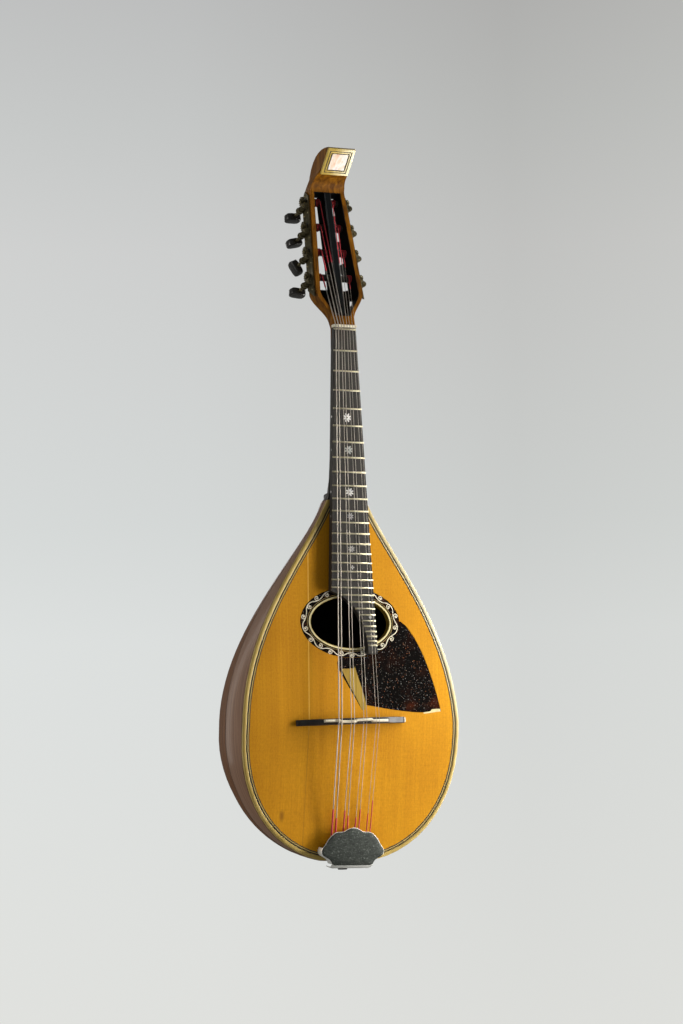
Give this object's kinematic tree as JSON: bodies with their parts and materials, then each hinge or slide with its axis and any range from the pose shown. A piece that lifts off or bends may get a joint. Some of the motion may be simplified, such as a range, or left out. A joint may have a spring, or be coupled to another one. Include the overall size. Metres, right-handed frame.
{
  "type": "bowl back mandolin",
  "caption": "Bowl back mandolin with a ribbed rosewood bowl, canted spruce top, oval sound hole, slotted head and worm-and-gear tuners whose knobs turn the string rollers.",
  "frame": {"origin": "front of the neck at the zero fret, where the yoke of a wall hook holds the neck under the head", "axes": "+Z along the neck towards the head, +X to the treble side, +Y to the back of the bowl; the soundboard faces -Y"},
  "size_m": [0.1988, 0.1648, 0.6099],
  "materials": {
    "spruce_top": "golden varnished spruce with fine straight grain",
    "rosewood": "glossy dark brown rosewood",
    "head_wood": "glossy orange-brown stained hardwood",
    "ivoroid": "yellowed ivory-coloured binding",
    "ebony": "dark ebony, satin",
    "tortoiseshell": "black speckled tortoiseshell",
    "pearl": "mother of pearl",
    "bone": "smooth bone",
    "string_steel": "plain and wound string wire",
    "aged_brass": "brass gone olive with age",
    "nickel": "polished nickel plate",
    "black_knob": "black horn",
    "silk_roller": "red silk wound string on a dark roller",
    "inner_spruce": "bare spruce"
  },
  "bodies": {
    "root": {"neck": "head_wood", "nut": "ivoroid", "fingerboard": "ebony", "plaque_frame": "ivoroid", "plaque_pearl": "pearl", "rib_1": "rosewood", "rib_2": "rosewood", "rib_3": "rosewood", "rib_4": "rosewood", "rib_5": "rosewood", "rib_6": "rosewood", "rib_7": "rosewood", "rib_8": "rosewood", "rib_9": "rosewood", "soundboard": "spruce_top", "binding": "ivoroid", "rosette": "tortoiseshell", "pickguard": "tortoiseshell", "upper_brace": "inner_spruce", "lower_brace": "inner_spruce", "tail_block": "rosewood", "end_pin": "bone", "tailpiece_plate": "nickel", "tailpiece_cover": "nickel", "bridge": "ebony", "saddle": "bone", "tuner_plate_bass": "aged_brass", "tuner_plate_treble": "aged_brass", "string_g1": "string_steel", "string_g2": "string_steel", "string_d1": "string_steel", "string_d2": "string_steel", "string_a1": "string_steel", "string_a2": "string_steel", "string_e1": "string_steel", "string_e2": "string_steel"},
    "knob_g1": {"worm_g1": "aged_brass", "knob_g1": "black_knob"},
    "roller_g1": {"roller_g1": "silk_roller"},
    "knob_g2": {"worm_g2": "aged_brass", "knob_g2": "black_knob"},
    "roller_g2": {"roller_g2": "silk_roller"},
    "knob_d1": {"worm_d1": "aged_brass", "knob_d1": "black_knob"},
    "roller_d1": {"roller_d1": "silk_roller"},
    "knob_d2": {"worm_d2": "aged_brass", "knob_d2": "black_knob"},
    "roller_d2": {"roller_d2": "silk_roller"},
    "knob_a1": {"worm_a1": "aged_brass", "knob_a1": "black_knob"},
    "roller_a1": {"roller_a1": "silk_roller"},
    "knob_a2": {"worm_a2": "aged_brass", "knob_a2": "black_knob"},
    "roller_a2": {"roller_a2": "silk_roller"},
    "knob_e1": {"worm_e1": "aged_brass", "knob_e1": "black_knob"},
    "roller_e1": {"roller_e1": "silk_roller"},
    "knob_e2": {"worm_e2": "aged_brass", "knob_e2": "black_knob"},
    "roller_e2": {"roller_e2": "silk_roller"}
  },
  "joints": [
    {"name": "knob_g1_turn", "type": "hinge", "parent": "root", "child": "knob_g1", "pos_m": [-0.0251, 0.01387, 0.04179], "axis": [0, 0.9759, -0.2181], "continuous": true},
    {"name": "roller_g1_turn", "type": "hinge", "parent": "root", "child": "roller_g1", "pos_m": [0, 0.0151, 0.04725], "axis": [1, 0, 0], "continuous": true},
    {"name": "knob_g2_turn", "type": "hinge", "parent": "root", "child": "knob_g2", "pos_m": [-0.0237, 0.01896, 0.06453], "axis": [0, 0.9759, -0.2181], "continuous": true},
    {"name": "roller_g2_turn", "type": "hinge", "parent": "root", "child": "roller_g2", "pos_m": [0, 0.02018, 0.06999], "axis": [1, 0, 0], "continuous": true},
    {"name": "knob_d1_turn", "type": "hinge", "parent": "root", "child": "knob_d1", "pos_m": [-0.02231, 0.02404, 0.08727], "axis": [0, 0.9759, -0.2181], "continuous": true},
    {"name": "roller_d1_turn", "type": "hinge", "parent": "root", "child": "roller_d1", "pos_m": [0, 0.02526, 0.09273], "axis": [1, 0, 0], "continuous": true},
    {"name": "knob_d2_turn", "type": "hinge", "parent": "root", "child": "knob_d2", "pos_m": [-0.02092, 0.02912, 0.11], "axis": [0, 0.9759, -0.2181], "continuous": true},
    {"name": "roller_d2_turn", "type": "hinge", "parent": "root", "child": "roller_d2", "pos_m": [0, 0.03034, 0.11547], "axis": [1, 0, 0], "continuous": true},
    {"name": "knob_a1_turn", "type": "hinge", "parent": "root", "child": "knob_a1", "pos_m": [0.02092, 0.02912, 0.11], "axis": [0, 0.9759, -0.2181], "continuous": true},
    {"name": "roller_a1_turn", "type": "hinge", "parent": "root", "child": "roller_a1", "pos_m": [0, 0.03034, 0.11547], "axis": [1, 0, 0], "continuous": true},
    {"name": "knob_a2_turn", "type": "hinge", "parent": "root", "child": "knob_a2", "pos_m": [0.02231, 0.02404, 0.08727], "axis": [0, 0.9759, -0.2181], "continuous": true},
    {"name": "roller_a2_turn", "type": "hinge", "parent": "root", "child": "roller_a2", "pos_m": [0, 0.02526, 0.09273], "axis": [1, 0, 0], "continuous": true},
    {"name": "knob_e1_turn", "type": "hinge", "parent": "root", "child": "knob_e1", "pos_m": [0.0237, 0.01896, 0.06453], "axis": [0, 0.9759, -0.2181], "continuous": true},
    {"name": "roller_e1_turn", "type": "hinge", "parent": "root", "child": "roller_e1", "pos_m": [0, 0.02018, 0.06999], "axis": [1, 0, 0], "continuous": true},
    {"name": "knob_e2_turn", "type": "hinge", "parent": "root", "child": "knob_e2", "pos_m": [0.0251, 0.01387, 0.04179], "axis": [0, 0.9759, -0.2181], "continuous": true},
    {"name": "roller_e2_turn", "type": "hinge", "parent": "root", "child": "roller_e2", "pos_m": [0, 0.0151, 0.04725], "axis": [1, 0, 0], "continuous": true}
  ],
  "couplings": [
    {"joint": "roller_g1_turn", "follows": "knob_g1_turn", "ratio": -0.083333},
    {"joint": "roller_g2_turn", "follows": "knob_g2_turn", "ratio": -0.083333},
    {"joint": "roller_d1_turn", "follows": "knob_d1_turn", "ratio": -0.083333},
    {"joint": "roller_d2_turn", "follows": "knob_d2_turn", "ratio": -0.083333},
    {"joint": "roller_a1_turn", "follows": "knob_a1_turn", "ratio": -0.083333},
    {"joint": "roller_a2_turn", "follows": "knob_a2_turn", "ratio": -0.083333},
    {"joint": "roller_e1_turn", "follows": "knob_e1_turn", "ratio": -0.083333},
    {"joint": "roller_e2_turn", "follows": "knob_e2_turn", "ratio": -0.083333}
  ]
}
